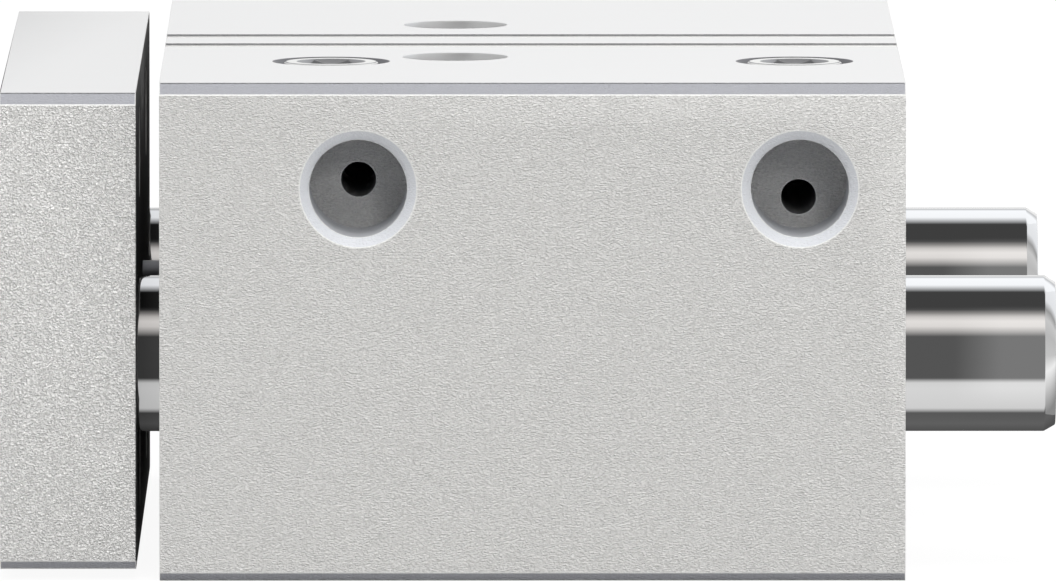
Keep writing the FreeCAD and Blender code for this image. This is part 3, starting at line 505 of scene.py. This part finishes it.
def finish_edges(bm, node, materials, flank):
    """Gives the broken edges the look of what they border, where that isn't a bright deburred one."""
    high = BOXES[node][1]
    on_housing = node == "housing"
    for face in bm.faces:
        if face.material_index != materials.index("edge"):
            continue
        centre = face.calc_center_median()
        if on_housing and any(off_upright(centre, hole) < RIM_REACH for hole in HOLES):
            face.material_index = materials.index("bored")
        elif centre.z > high.z - TOP_EDGE:
            # the broken edges round the plugs take the same painted shade as their seats
            if on_housing and any(off_upright(centre, plug) < RIM_REACH for plug in PLUGS):
                face.material_index = materials.index("sunk_seat")
            elif abs(face.normal.x) < ALONG:
                beside_slot = on_housing and abs(centre.y) < SLOT_REACH
                look = "slot_edge" if beside_slot else "glossy_edge"
                face.material_index = materials.index(look)
        elif abs(face.normal.z) < ALONG:
            face.material_index = materials.index(flank)


def shade_smooth(piece):
    """Smooth shading that keeps large faces flat up to their rounded edges."""
    bm = bmesh.new()
    bm.from_mesh(piece.data)
    for face in bm.faces:
        face.smooth = True
    for edge in bm.edges:
        edge.smooth = edge.calc_face_angle(0.0) < SMOOTH_ANGLE
    bm.to_mesh(piece.data)
    bm.free()
    modifier = piece.modifiers.new("flat_faces", "WEIGHTED_NORMAL")
    modifier.keep_sharp = True


def extent(bm):
    """The lowest and the highest coordinates of a bmesh."""
    return [[pick(vert.co[axis] for vert in bm.verts) for axis in range(3)] for pick in (min, max)]


def keep_inside(bm, box):
    """Pulls back the corners of rounds that overshoot the solid they were made on."""
    for vert in bm.verts:
        vert.co = [min(max(at, low), high) for at, low, high in zip(vert.co, *box)]


def refined(node, name, body, materials, width, choose, flank=None):
    """A copy of a node with broken edges; choose gives each face's material from centre and normal."""
    bm = welded_copy(node)
    box = extent(bm)
    edge_slot = materials.index("edge") if "edge" in materials else 0
    fine_width = bpy.context.scene.cylinder_shape.fine_break
    for face in bm.faces:
        face.material_index = materials.index(choose(face.calc_center_median(), face.normal))
    if node == "housing":
        raise_port_seats(bm)
    break_edges(bm, fine_width, edge_slot, 0.0, LONG_EDGE)
    break_edges(bm, width, edge_slot, LONG_EDGE, math.inf)
    if node == "housing":
        deepen_slot_edges(bm)
    keep_inside(bm, box)
    if flank:
        finish_edges(bm, node, materials, flank)
    piece = new_piece(name, bm, body, materials)
    shade_smooth(piece)
    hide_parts(node)
    return piece


# ---------------------------------------------------------------- operators


class CYLINDER_OT_materials(bpy.types.Operator):
    """Makes the finishes"""

    bl_idname = "cylinder.materials"
    bl_label = "Materials"

    def execute(self, context):
        make_materials()
        return {"FINISHED"}


def outer_finish(node, centre, normal, flank, faces):
    """The finish of a block's face: flank on sides and ends, faces on top and below, milled chamfers."""
    low, high = BOXES[node]
    if min(centre.z - low.z, high.z - centre.z) < NEAR:
        return faces
    if min(centre.x - low.x, high.x - centre.x, centre.y - low.y, high.y - centre.y) < NEAR:
        return flank
    if abs(normal.x) < LEANING and abs(centre.y) > high.y - CHAMFER_REACH:
        return "milled"
    return "bored"


def choose_housing(centre, normal):
    """The finish of each face of the housing: ports have their own, the seats round the plugs are
    painted dark as shade, and the sensor slot walls are painted light.
    """
    low, high = BOXES["housing"]
    in_port = NEAR < centre.y - low.y < PORT_DEPTH
    if in_port and any(off_port(centre, port) < RIM_REACH for port in PORTS):
        if normal.y < -SQUARE:
            return "blasted"
        return "seat" if normal.y < -LEANING else "port_wall"
    below_top = NEAR < high.z - centre.z < SLOT_LIP
    # the seats round the plugs get painted shade
    if below_top and any(off_upright(centre, plug) < RIM_REACH for plug in PLUGS):
        return "sunk_seat"
    # the walls of the sensor slots get the painted light of the slot colour
    if below_top and abs(centre.y) < SLOT_REACH:
        return "slot"
    return outer_finish("housing", centre, normal, "blasted", "drawn")


class CYLINDER_OT_housing(bpy.types.Operator):
    """Models the housing"""

    bl_idname = "cylinder.housing"
    bl_label = "Housing"

    def execute(self, context):
        shape = context.scene.cylinder_shape
        materials = ["blasted", "drawn", "milled", "bored", "edge", "seat", "port_wall", "slot"]
        materials += ["sunk_seat", "glossy_edge", "slot_edge"]
        refined(
            "housing",
            "housing_block",
            "cylinder",
            materials,
            shape.edge_break,
            choose_housing,
            "edge",
        )
        return {"FINISHED"}


def choose_yoke(centre, normal):
    """The finish of each face of the yoke plate: only its rear face is bare, and painted dark as shade.
    """
    if normal.x > SQUARE:
        return "plate_back"
    return outer_finish("yoke_plate", centre, normal, "coarse", "drawn_plate")


class CYLINDER_OT_yoke(bpy.types.Operator):
    """Models the yoke plate"""

    bl_idname = "cylinder.yoke"
    bl_label = "Yoke plate"

    def execute(self, context):
        shape = context.scene.cylinder_shape
        materials = ["coarse", "drawn_plate", "milled", "bored", "edge", "plate_back", "glossy_edge"]
        refined(
            "yoke_plate",
            "yoke_block",
            "slide",
            materials,
            shape.edge_break,
            choose_yoke,
            "coarse",
        )
        return {"FINISHED"}


def thread_ridge(bm, mouth, inward, radius, pitch, start, depth):
    """A helical ridge in a threaded hole, from start to depth below its mouth."""
    shape = bpy.context.scene.cylinder_shape
    height = shape.thread_height * pitch
    root = radius + THREAD_ROOT
    profile = (
        (root, -THREAD_FOOT * pitch),
        (radius - height, -THREAD_CREST * pitch),
        (radius - height, THREAD_CREST * pitch),
        (root, THREAD_FOOT * pitch),
    )
    corners = [bm.verts.new((across, 0.0, start + pitch / 2 + along)) for across, along in profile]
    face = bm.faces.new(corners)
    turns = (depth - start) / pitch - 1.0
    steps = round(turns * THREAD_STEPS)
    before = set(bm.verts) - set(corners)
    bmesh.ops.spin(
        bm,
        geom=[*corners, *face.edges, face],
        cent=(0.0, 0.0, 0.0),
        axis=(0.0, 0.0, 1.0),
        dvec=(0.0, 0.0, (depth - start - pitch) / steps),
        angle=2.0 * math.pi * turns,
        steps=steps,
    )
    ridge = [vert for vert in bm.verts if vert not in before]
    matrix = Matrix.Translation(mouth) @ inward.to_track_quat("Z", "Y").to_matrix().to_4x4()
    bmesh.ops.transform(bm, matrix=matrix, verts=ridge)


# mount, body, slot, pitch setting, start and depth of the thread
THREADED_HOLES = [
    ("top_threads", "cylinder", "housing", "coarse_pitch", 0.9 * MM, 9.0 * MM),
    ("underside_threads", "cylinder", "housing", "coarse_pitch", 0.9 * MM, 9.0 * MM),
    ("rear_threads", "cylinder", "housing", "fine_pitch", 0.5 * MM, 8.0 * MM),
    ("yoke_threads", "slide", "yoke", "fine_pitch", 0.4 * MM, 6.5 * MM),
]


class CYLINDER_OT_threads(bpy.types.Operator):
    """Cuts the threads of the mounting holes"""

    bl_idname = "cylinder.threads"
    bl_label = "Threads"

    def execute(self, context):
        shape = context.scene.cylinder_shape
        for name, body, slot_name, pitch, start, depth in THREADED_HOLES:
            mount = MOUNTS[name]
            middle, outward = Vector(mount["pos_m"]), Vector(mount["axis"])
            dims = mount["dims"]
            # the first spacing that a mount gives runs across the rods, the second one up and down
            spacings = [dims[key] / 2 * MM for key in ("spacing_x_mm", "spacing_y_mm") if key in dims]
            across, upright = (*spacings, 0.0)[:2]
            radius = dims["hole_r_mm"] * MM
            bm = bmesh.new()
            for side in (-1, 1):
                for level in (-1, 1) if upright else (0,):
                    mouth = middle + Vector((0.0, side * across, level * upright))
                    thread_ridge(bm, mouth, -outward, radius, getattr(shape, pitch), start, depth)
            bmesh.ops.recalc_face_normals(bm, faces=bm.faces)
            piece = new_piece(name + "_ridges", bm, body, ["bored"])
            shade_smooth(piece)
        return {"FINISHED"}


SMALL_PIECES = [
    ("guide_rod_port_side", "slide", "guide_rod", "chrome"),
    ("guide_rod_plain_side", "slide", "guide_rod", "chrome"),
    # the piston rod takes the steel that is darkened as painted shade
    ("piston_rod", "slide", "piston_rod", "stainless"),
    ("guide_rod_screw_port_side", "slide", "screw", "steel"),
    ("guide_rod_screw_plain_side", "slide", "screw", "steel"),
    ("piston_rod_screw", "slide", "screw", "steel"),
    ("front_retaining_ring", "cylinder", "retaining_ring", "phosphate"),
    ("rear_retaining_ring", "cylinder", "retaining_ring", "phosphate"),
    ("front_cap", "cylinder", "cap", "turned"),
    ("rear_cap", "cylinder", "cap", "turned"),
    ("guide_bush_front_port_side", "cylinder", "bush", "bronze"),
    ("guide_bush_front_plain_side", "cylinder", "bush", "bronze"),
    ("guide_bush_rear_port_side", "cylinder", "bush", "bronze"),
    ("guide_bush_rear_plain_side", "cylinder", "bush", "bronze"),
]


def choose_plug(centre, normal):
    """Nickel plating outside, and the bare steel of the broached socket inside."""
    outside = normal.z > SQUARE or min(off_upright(centre, plug) for plug in PLUGS) > PLUG_SOCKET_REACH
    return "nickel" if outside else "socket"


class CYLINDER_OT_plugs(bpy.types.Operator):
    """Models the blanking plugs of the top ports"""

    bl_idname = "cylinder.plugs"
    bl_label = "Blanking plugs"

    def execute(self, context):
        shape = context.scene.cylinder_shape
        for node in ("blanking_plug_front", "blanking_plug_rear"):
            refined(
                node,
                node + "_piece",
                "cylinder",
                ["socket", "nickel"],
                shape.fine_break,
                choose_plug,
            )
        return {"FINISHED"}


class CYLINDER_OT_small_pieces(bpy.types.Operator):
    """Models rods, screws, rings, caps and bushes"""

    bl_idname = "cylinder.small_pieces"
    bl_label = "Rods and small pieces"

    def execute(self, context):
        shape = context.scene.cylinder_shape
        for node, body, slot_name, material in SMALL_PIECES:
            refined(
                node,
                node + "_piece",
                body,
                [material],
                shape.fine_break,
                lambda centre, normal, material=material: material,
            )
        return {"FINISHED"}


INNER_FINISHES = {
    "rod_bush": "bronze",
    "rod_seal": "rubber",
    "front_cap_o_ring": "rubber",
    "rear_cap_o_ring": "rubber",
    "guide_wiper_port_side": "rubber",
    "guide_wiper_plain_side": "rubber",
    "front_cushion": "polyurethane",
    "rear_cushion": "polyurethane",
    "piston_front_half": "turned",
    "piston_rear_half": "turned",
    "piston_magnet": "ferrite",
    "piston_guide_band": "polymer",
    "piston_seal_front": "rubber",
    "piston_seal_rear": "rubber",
    "piston_nut": "steel",
}


class CYLINDER_OT_inner_pieces(bpy.types.Operator):
    """Finishes the pieces inside the housing"""

    bl_idname = "cylinder.inner_pieces"
    bl_label = "Inner pieces"

    def execute(self, context):
        for node, material in INNER_FINISHES.items():
            for slot in NODES[node].material_slots:
                slot.material = MATERIALS[material]
        return {"FINISHED"}


# ---------------------------------------------------------------- stage


# degrees round the stroke axis, from the port side over the top, and the light that comes from there
COOL, WARM, PLAIN = "#fafcff", "#fffbf8", "#ffffff"
TUBE_BANDS = [
    (-180.0, 0.08, PLAIN),
    (-152.0, 0.09, PLAIN),
    (-123.0, 0.13, PLAIN),
    (-94.0, 0.11, PLAIN),
    (-84.0, 0.70, PLAIN),
    (-48.0, 0.75, PLAIN),
    (-39.0, 0.72, PLAIN),
    (-32.0, 0.10, PLAIN),
    (30.0, 0.10, PLAIN),
    (45.0, 0.80, WARM),
    (53.0, 0.86, WARM),
    (60.0, 0.66, WARM),
    (66.0, 0.30, WARM),
    (72.0, 0.08, PLAIN),
    (77.0, 0.055, PLAIN),
    (108.0, 0.055, PLAIN),
    (126.0, 1.08, COOL),
    (150.0, 1.1, COOL),
    (160.0, 0.60, COOL),
    (168.0, 0.90, PLAIN),
]
REAR_BANDS = [
    (-180.0, 0.30, PLAIN),
    (-110.0, 0.28, PLAIN),
    (-75.0, 0.55, PLAIN),
    (-30.0, 0.97, PLAIN),
    (0.0, 0.62, PLAIN),
    (40.0, 0.55, PLAIN),
    (70.0, 0.65, PLAIN),
    (88.0, 0.36, PLAIN),
    (105.0, 0.90, COOL),
    (165.0, 1.0, COOL),
]
FRONT_BANDS = [(-180.0, 0.5, PLAIN), (0.0, 0.5, PLAIN)]


# past the rear end of the housing the port side of the tube gives more light: all of it up to the
# first angle from the horizon, and none of it from the second one on
FILL_START, FILL_END = 61.0 * MM, 67.0 * MM
FILL_LIGHT = 0.11
FILL_FLAT, FILL_STEEP = math.radians(35.0), math.radians(80.0)
# towards the gap between yoke and housing it gives less: a part is taken off, and the rest is dimmed
GAP_END, GAP_START = -50.0 * MM, -36.0 * MM
GAP_LOSS = -0.065
GAP_STRENGTH = 0.72


def bands_round_axis(tree, place, bands):
    """The light of the bands at a place of the tent, its bearing round the axis and its way along it."""
    split = add_node(tree, "SeparateXYZ", {"Vector": place})
    toward = add_node(tree, "Math", {0: split.outputs["Y"], 1: -1.0}, operation="MULTIPLY")
    bearing = add_node(tree, "Math", {0: split.outputs["Z"], 1: toward}, operation="ARCTAN2")
    turn = add_node(tree, "MapRange", {"Value": bearing, "From Min": -math.pi, "From Max": math.pi})
    ramp = add_node(tree, "ValToRGB", {"Fac": turn})
    elements = ramp.color_ramp.elements
    elements.remove(elements[-1])
    for band in bands[1:]:
        elements.new((band[0] + 180.0) / 360.0)
    for element, (degrees, level, tint) in zip(elements, bands):
        element.position = (degrees + 180.0) / 360.0
        element.color = (*(level * channel for channel in linear(tint)), 1.0)
    return ramp, bearing, split.outputs["X"]


def tent_end(name, bands):
    """Emission in bands round the stroke axis, which faces turned to the ends reflect."""
    material, tree, place = new_material(name)
    glow = add_node(tree, "Emission", {"Color": bands_round_axis(tree, place, bands)[0]})
    add_node(tree, "OutputMaterial", {"Surface": glow})
    return material


def tent_tube(name, bands):
    """Emission in bands round the stroke axis, as soft boxes and dark flags give a chromed rod."""
    material, tree, place = new_material(name)
    ramp, bearing, along = bands_round_axis(tree, place, bands)
    behind = add_node(
        tree,
        "MapRange",
        {"Value": along, "From Min": FILL_START, "From Max": FILL_END, "To Max": FILL_LIGHT},
    )
    steepness = add_node(tree, "Math", {0: bearing}, operation="ABSOLUTE")
    steps = {"From Min": FILL_FLAT, "From Max": FILL_STEEP, "To Min": 1.0, "To Max": 0.0}
    low_down = add_node(tree, "MapRange", {"Value": steepness, **steps})
    fill = add_node(tree, "Math", {0: behind, 1: low_down}, operation="MULTIPLY")
    gap = {"Value": along, "From Min": GAP_END, "From Max": GAP_START}
    loss = add_node(tree, "MapRange", {**gap, "To Min": GAP_LOSS, "To Max": 0.0})
    offset = add_node(tree, "Math", {0: fill, 1: loss}, operation="ADD")
    level = add_node(tree, "VectorMath", {0: ramp, 1: offset}, operation="ADD")
    strength = add_node(tree, "MapRange", {**gap, "To Min": GAP_STRENGTH})
    glow = add_node(tree, "Emission", {"Color": level, "Strength": strength})
    add_node(tree, "OutputMaterial", {"Surface": glow})
    return material


def show_only_in_reflections(stage_object):
    """Hides an object from all rays but glossy ones."""
    stage_object.visible_camera = False
    stage_object.visible_diffuse = False
    stage_object.visible_shadow = False
    stage_object.visible_transmission = False
    stage_object.visible_volume_scatter = False


def make_tent(stage):
    """A long closed tube round the drive that only glossy rays see."""
    bm = bmesh.new()
    bmesh.ops.create_cone(
        bm,
        cap_ends=True,
        segments=96,
        radius1=stage.tent_radius,
        radius2=stage.tent_radius,
        depth=stage.tent_length,
        matrix=Matrix.Rotation(math.radians(90.0), 4, "Y"),
    )
    for face in bm.faces:
        if abs(face.normal.x) > SQUARE:
            face.material_index = 1 if face.normal.x > 0.0 else 2
    mesh = bpy.data.meshes.new("reflection_tent")
    bm.to_mesh(mesh)
    bm.free()
    mesh.materials.append(tent_tube("tent_tube", TUBE_BANDS))
    mesh.materials.append(tent_end("tent_rear_end", REAR_BANDS))
    mesh.materials.append(tent_end("tent_front_end", FRONT_BANDS))
    tent = bpy.data.objects.new("reflection_tent", mesh)
    bpy.context.scene.collection.objects.link(tent)
    show_only_in_reflections(tent)


FLOOR_WIDTH = 4.0
FLOOR_PAPER = "#b4b4b4"
# strength of the floor's own light, and its share of what the camera sees of the floor
FLOOR_GLOW = 1.1
FLOOR_GLOW_SHARE = 0.85


def make_floor():
    """A pale floor that renders white and keeps a soft shadow."""
    material, tree = new_material("pale_floor")[:2]
    seen = add_node(tree, "LightPath").outputs["Is Camera Ray"]
    paper = add_node(tree, "BsdfDiffuse", {"Color": (*linear(FLOOR_PAPER), 1.0)})
    glow = add_node(tree, "Emission", {"Color": (1.0, 1.0, 1.0, 1.0), "Strength": FLOOR_GLOW})
    part = add_node(tree, "Math", {0: seen, 1: FLOOR_GLOW_SHARE}, operation="MULTIPLY")
    mix = add_node(tree, "MixShader", {0: part, 1: paper, 2: glow})
    add_node(tree, "OutputMaterial", {"Surface": mix})
    bm = bmesh.new()
    bmesh.ops.create_grid(bm, x_segments=1, y_segments=1, size=FLOOR_WIDTH / 2)
    mesh = bpy.data.meshes.new("floor")
    bm.to_mesh(mesh)
    bm.free()
    mesh.materials.append(material)
    floor = bpy.data.objects.new("floor", mesh)
    bpy.context.scene.collection.objects.link(floor)
    floor.visible_glossy = False


# the white round the drive lights matt surfaces with this share of what the camera and mirrors see
WORLD_SHARE = 0.64


def make_world():
    """Even light for matt surfaces, white for the camera and for reflections."""
    world = bpy.data.worlds.new("studio")
    bpy.context.scene.world = world
    world.use_nodes = True
    tree = world.node_tree
    tree.nodes.clear()
    path = add_node(tree, "LightPath")
    rays = [path.outputs["Is " + kind + " Ray"] for kind in ("Camera", "Glossy", "Transmission")]
    plain = add_node(tree, "Math", {0: rays[0], 1: rays[1]}, operation="MAXIMUM")
    seen = add_node(tree, "Math", {0: plain, 1: rays[2]}, operation="MAXIMUM")
    strength = add_node(tree, "MapRange", {"Value": seen, "To Min": WORLD_SHARE})
    light = add_node(tree, "Background", {"Color": (1.0, 1.0, 1.0, 1.0), "Strength": strength})
    add_node(tree, "OutputWorld", {"Surface": light})


# name, place, width and power of each lamp, in metres and watts
LAMPS = [
    ("key_lamp", (0.1, -0.7, 0.8), 0.6, 5.0),
    ("front_lamp", (0.25, -1.15, 0.42), 0.2, 2.0),
    ("top_lamp", (0.0, -0.25, 1.0), 0.6, 5.1),
    ("rear_lamp", (0.2, 0.8, 0.7), 0.6, 3.5),
]


def make_lamp(name, place, width, power):
    """A soft lamp aimed at the drive, which only lights and isn't seen."""
    data = bpy.data.lights.new(name, "AREA")
    data.shape = "SQUARE"
    data.size = width
    data.energy = power
    lamp = bpy.data.objects.new(name, data)
    lamp.location = place
    lamp.rotation_euler = (-Vector(place)).to_track_quat("-Z", "Y").to_euler()
    lamp.visible_camera = False
    lamp.visible_glossy = False
    bpy.context.scene.collection.objects.link(lamp)


class CYLINDER_OT_stage(bpy.types.Operator):
    """Sets the floor, the lights and the camera"""

    bl_idname = "cylinder.stage"
    bl_label = "Stage"

    def execute(self, context):
        stage = context.scene.cylinder_stage
        make_floor()
        make_world()
        make_tent(stage)
        for lamp in LAMPS:
            make_lamp(*lamp)

        low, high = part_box("housing")
        target = Vector((-stage.aim_shift, low.y, (low.z + high.z) / 2 + stage.aim_rise))
        away = Vector(
            (
                -math.sin(stage.camera_azimuth) * math.cos(stage.camera_elevation),
                -math.cos(stage.camera_azimuth) * math.cos(stage.camera_elevation),
                math.sin(stage.camera_elevation),
            )
        )
        data = bpy.data.cameras.new("camera")
        data.sensor_width = 36.0
        data.lens = stage.lens
        camera = bpy.data.objects.new("camera", data)
        camera.location = target + away * stage.camera_distance
        camera.rotation_euler = (-away).to_track_quat("-Z", "Y").to_euler()
        context.scene.collection.objects.link(camera)
        context.scene.camera = camera
        context.scene.view_settings.view_transform = "Standard"
        return {"FINISHED"}


class CYLINDER_PT_panel(bpy.types.Panel):
    """Buttons for the steps, in their order"""

    bl_idname = "CYLINDER_PT_panel"
    bl_label = "Guided Cylinder"
    bl_space_type = "VIEW_3D"
    bl_region_type = "UI"
    bl_category = "Cylinder"

    def draw(self, context):
        for step in STEPS:
            self.layout.operator(step.bl_idname)


STEPS = (
    CYLINDER_OT_materials,
    CYLINDER_OT_housing,
    CYLINDER_OT_yoke,
    CYLINDER_OT_threads,
    CYLINDER_OT_plugs,
    CYLINDER_OT_small_pieces,
    CYLINDER_OT_inner_pieces,
    CYLINDER_OT_stage,
)
GROUPS = {
    "cylinder_finish": FinishSettings,
    "cylinder_shape": ShapeSettings,
    "cylinder_stage": StageSettings,
}


def register():
    """Registers the settings, the steps and the panel."""
    for group in GROUPS.values():
        bpy.utils.register_class(group)
    for name, group in GROUPS.items():
        setattr(bpy.types.Scene, name, bpy.props.PointerProperty(type=group))
    for step in (*STEPS, CYLINDER_PT_panel):
        bpy.utils.register_class(step)


def unregister():
    """Takes back what register added."""
    for step in (CYLINDER_PT_panel, *reversed(STEPS)):
        bpy.utils.unregister_class(step)
    for name, group in GROUPS.items():
        delattr(bpy.types.Scene, name)
        bpy.utils.unregister_class(group)


def main():
    """Runs every step in its order."""
    register()
    for step in STEPS:
        group, action = step.bl_idname.split(".")
        getattr(getattr(bpy.ops, group), action)()


if __name__ == "__main__":
    main()
